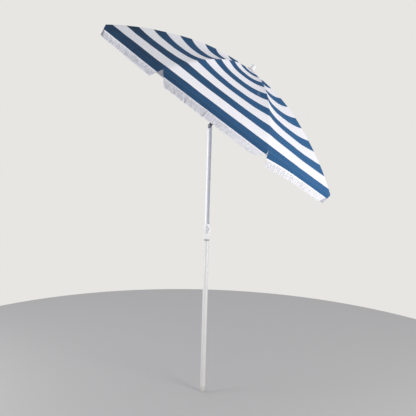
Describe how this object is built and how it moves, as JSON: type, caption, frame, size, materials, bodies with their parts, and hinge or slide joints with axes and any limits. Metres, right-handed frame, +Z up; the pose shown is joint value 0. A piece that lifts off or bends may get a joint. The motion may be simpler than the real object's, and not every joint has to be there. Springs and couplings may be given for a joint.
{
  "type": "beach umbrella",
  "caption": "striped beach umbrella with fringed valance, open and tilted on a telescopic white pole with a ground spike and a wing-screw clamp; the canopy folds on ribs, struts and a runner",
  "frame": {"origin": "the point of the ground spike, on the pole's axis", "axes": "+Z runs up the pole; the canopy is tilted towards +X; -Y faces the viewer's side where the clamp screw points"},
  "size_m": [1.3336, 1.5844, 2.2656],
  "materials": {
    "pole_white": "white painted steel tube, light wear",
    "upper_pole_white": "glossy white lacquered tube",
    "spike_white": "moulded white plastic, scuffed",
    "white_plastic": "moulded white plastic",
    "dark_plastic": "dark grey moulded plastic",
    "slate_plastic": "slate blue-grey moulded plastic",
    "brass": "dull brass insert",
    "steel": "drawn steel wire and pin",
    "rib_coating": "white coated steel rod",
    "canopy_fabric": "woven canvas in blue and white stripes, white fringe"
  },
  "bodies": {
    "lower_pole": {"lower_tube": "pole_white", "ground_spike": "spike_white", "clamp_collar": "white_plastic", "collar_ring": "dark_plastic", "clamp_insert": "brass"},
    "clamp_screw": {"clamp_wing_screw": "white_plastic"},
    "pole_bush": {"guide_bush": "dark_plastic"},
    "upper_pole": {"upper_tube": "upper_pole_white", "tilt_fork": "slate_plastic", "tilt_pin": "steel"},
    "tilt_release": {"tilt_button": "slate_plastic"},
    "head": {"tilt_tongue": "slate_plastic", "top_tube": "upper_pole_white", "crown_hub": "white_plastic", "crown_wire": "steel", "crown_cap": "white_plastic", "finial": "white_plastic"},
    "runner": {"runner": "white_plastic"},
    "rib_1": {"rib_1": "rib_coating", "rib_tip_1": "white_plastic", "rib_clip_1": "dark_plastic", "canopy_panel_1": "canopy_fabric"},
    "rib_2": {"rib_2": "rib_coating", "rib_tip_2": "white_plastic", "rib_clip_2": "dark_plastic", "canopy_panel_2": "canopy_fabric"},
    "rib_3": {"rib_3": "rib_coating", "rib_tip_3": "white_plastic", "rib_clip_3": "dark_plastic", "canopy_panel_3": "canopy_fabric"},
    "rib_4": {"rib_4": "rib_coating", "rib_tip_4": "white_plastic", "rib_clip_4": "dark_plastic", "canopy_panel_4": "canopy_fabric"},
    "rib_5": {"rib_5": "rib_coating", "rib_tip_5": "white_plastic", "rib_clip_5": "dark_plastic", "canopy_panel_5": "canopy_fabric"},
    "rib_6": {"rib_6": "rib_coating", "rib_tip_6": "white_plastic", "rib_clip_6": "dark_plastic", "canopy_panel_6": "canopy_fabric"},
    "rib_7": {"rib_7": "rib_coating", "rib_tip_7": "white_plastic", "rib_clip_7": "dark_plastic", "canopy_panel_7": "canopy_fabric"},
    "rib_8": {"rib_8": "rib_coating", "rib_tip_8": "white_plastic", "rib_clip_8": "dark_plastic", "canopy_panel_8": "canopy_fabric"},
    "strut_1": {"strut_1": "rib_coating"},
    "strut_2": {"strut_2": "rib_coating"},
    "strut_3": {"strut_3": "rib_coating"},
    "strut_4": {"strut_4": "rib_coating"},
    "strut_5": {"strut_5": "rib_coating"},
    "strut_6": {"strut_6": "rib_coating"},
    "strut_7": {"strut_7": "rib_coating"},
    "strut_8": {"strut_8": "rib_coating"}
  },
  "joints": [
    {"name": "clamp_turn", "type": "hinge", "parent": "lower_pole", "child": "clamp_screw", "pos_m": [0, 0, 1.072], "axis": [0.4695, -0.8829, 0], "range_deg": [0, 90]},
    {"name": "pole_slide", "type": "slide", "parent": "lower_pole", "child": "pole_bush", "axis": [0, 0, -1], "range_m": [0, 0.25]},
    {"name": "pole_swivel", "type": "hinge", "parent": "pole_bush", "child": "upper_pole", "pos_m": [0, 0, 0.7], "axis": [0, 0, 1], "continuous": true},
    {"name": "canopy_tilt", "type": "hinge", "parent": "upper_pole", "child": "head", "pos_m": [0, 0, 1.714], "axis": [0, -1, 0], "range_deg": [0, 35.3]},
    {"name": "button_press", "type": "slide", "parent": "upper_pole", "child": "tilt_release", "axis": [0, -1, 0], "range_m": [0, 0.0025], "stiffness_N_per_m": 400},
    {"name": "canopy_fold", "type": "hinge", "parent": "head", "child": "rib_1", "pos_m": [0.25367, 0.00829, 2.03763], "axis": [-0.3123, 0.9239, 0.2211], "range_deg": [0, 60], "deforming": ["canopy_panel_1"]},
    {"name": "rib_2_fold", "type": "hinge", "parent": "head", "child": "rib_2", "pos_m": [0.2441, 0.02001, 2.04441], "axis": [-0.754, 0.3827, 0.5339], "range_deg": [0, 60], "deforming": ["canopy_panel_2"]},
    {"name": "rib_3_fold", "type": "hinge", "parent": "head", "child": "rib_3", "pos_m": [0.23057, 0.02001, 2.05399], "axis": [-0.754, -0.3827, 0.5339], "range_deg": [0, 60], "deforming": ["canopy_panel_3"]},
    {"name": "rib_4_fold", "type": "hinge", "parent": "head", "child": "rib_4", "pos_m": [0.221, 0.00829, 2.06076], "axis": [-0.3123, -0.9239, 0.2211], "range_deg": [0, 60], "deforming": ["canopy_panel_4"]},
    {"name": "rib_5_fold", "type": "hinge", "parent": "head", "child": "rib_5", "pos_m": [0.221, -0.00829, 2.06076], "axis": [0.3123, -0.9239, -0.2211], "range_deg": [0, 60], "deforming": ["canopy_panel_5"]},
    {"name": "rib_6_fold", "type": "hinge", "parent": "head", "child": "rib_6", "pos_m": [0.23057, -0.02001, 2.05399], "axis": [0.754, -0.3827, -0.5339], "range_deg": [0, 60], "deforming": ["canopy_panel_6"]},
    {"name": "rib_7_fold", "type": "hinge", "parent": "head", "child": "rib_7", "pos_m": [0.2441, -0.02001, 2.04441], "axis": [0.754, 0.3827, -0.5339], "range_deg": [0, 60], "deforming": ["canopy_panel_7"]},
    {"name": "rib_8_fold", "type": "hinge", "parent": "head", "child": "rib_8", "pos_m": [0.25367, -0.00829, 2.03763], "axis": [0.3123, 0.9239, -0.2211], "range_deg": [0, 60], "deforming": ["canopy_panel_8"]},
    {"name": "strut_1_turn", "type": "hinge", "parent": "rib_1", "child": "strut_1", "pos_m": [0.3593, 0.0702, 1.92818], "axis": [-0.3123, 0.9239, 0.2211], "range_deg": [-91.96, 0]},
    {"name": "strut_2_turn", "type": "hinge", "parent": "rib_2", "child": "strut_2", "pos_m": [0.27828, 0.16947, 1.98554], "axis": [-0.754, 0.3827, 0.5339], "range_deg": [-91.96, 0]},
    {"name": "strut_3_turn", "type": "hinge", "parent": "rib_3", "child": "strut_3", "pos_m": [0.16369, 0.16947, 2.06667], "axis": [-0.754, -0.3827, 0.5339], "range_deg": [-91.96, 0]},
    {"name": "strut_4_turn", "type": "hinge", "parent": "rib_4", "child": "strut_4", "pos_m": [0.08267, 0.0702, 2.12404], "axis": [-0.3123, -0.9239, 0.2211], "range_deg": [-91.96, 0]},
    {"name": "strut_5_turn", "type": "hinge", "parent": "rib_5", "child": "strut_5", "pos_m": [0.08267, -0.0702, 2.12404], "axis": [0.3123, -0.9239, -0.2211], "range_deg": [-91.96, 0]},
    {"name": "strut_6_turn", "type": "hinge", "parent": "rib_6", "child": "strut_6", "pos_m": [0.16369, -0.16947, 2.06667], "axis": [0.754, -0.3827, -0.5339], "range_deg": [-91.96, 0]},
    {"name": "strut_7_turn", "type": "hinge", "parent": "rib_7", "child": "strut_7", "pos_m": [0.27828, -0.16947, 1.98554], "axis": [0.754, 0.3827, -0.5339], "range_deg": [-91.96, 0]},
    {"name": "strut_8_turn", "type": "hinge", "parent": "rib_8", "child": "strut_8", "pos_m": [0.3593, -0.0702, 1.92818], "axis": [0.3123, 0.9239, -0.2211], "range_deg": [-91.96, 0]},
    {"name": "runner_slide", "type": "slide", "parent": "head", "child": "runner", "axis": [-0.5779, 0, -0.8161], "range_m": [0, 0.1879]}
  ],
  "couplings": [
    {"joint": "rib_2_fold", "follows": "canopy_fold", "ratio": 1},
    {"joint": "rib_3_fold", "follows": "canopy_fold", "ratio": 1},
    {"joint": "rib_4_fold", "follows": "canopy_fold", "ratio": 1},
    {"joint": "rib_5_fold", "follows": "canopy_fold", "ratio": 1},
    {"joint": "rib_6_fold", "follows": "canopy_fold", "ratio": 1},
    {"joint": "rib_7_fold", "follows": "canopy_fold", "ratio": 1},
    {"joint": "rib_8_fold", "follows": "canopy_fold", "ratio": 1},
    {"joint": "strut_1_turn", "follows": "canopy_fold", "ratio": -1.5243},
    {"joint": "strut_2_turn", "follows": "canopy_fold", "ratio": -1.5243},
    {"joint": "strut_3_turn", "follows": "canopy_fold", "ratio": -1.5243},
    {"joint": "strut_4_turn", "follows": "canopy_fold", "ratio": -1.5243},
    {"joint": "strut_5_turn", "follows": "canopy_fold", "ratio": -1.5243},
    {"joint": "strut_6_turn", "follows": "canopy_fold", "ratio": -1.5243},
    {"joint": "strut_7_turn", "follows": "canopy_fold", "ratio": -1.5243},
    {"joint": "strut_8_turn", "follows": "canopy_fold", "ratio": -1.5243},
    {"joint": "runner_slide", "follows": "canopy_fold", "m_per_rad": 0.17896}
  ]
}
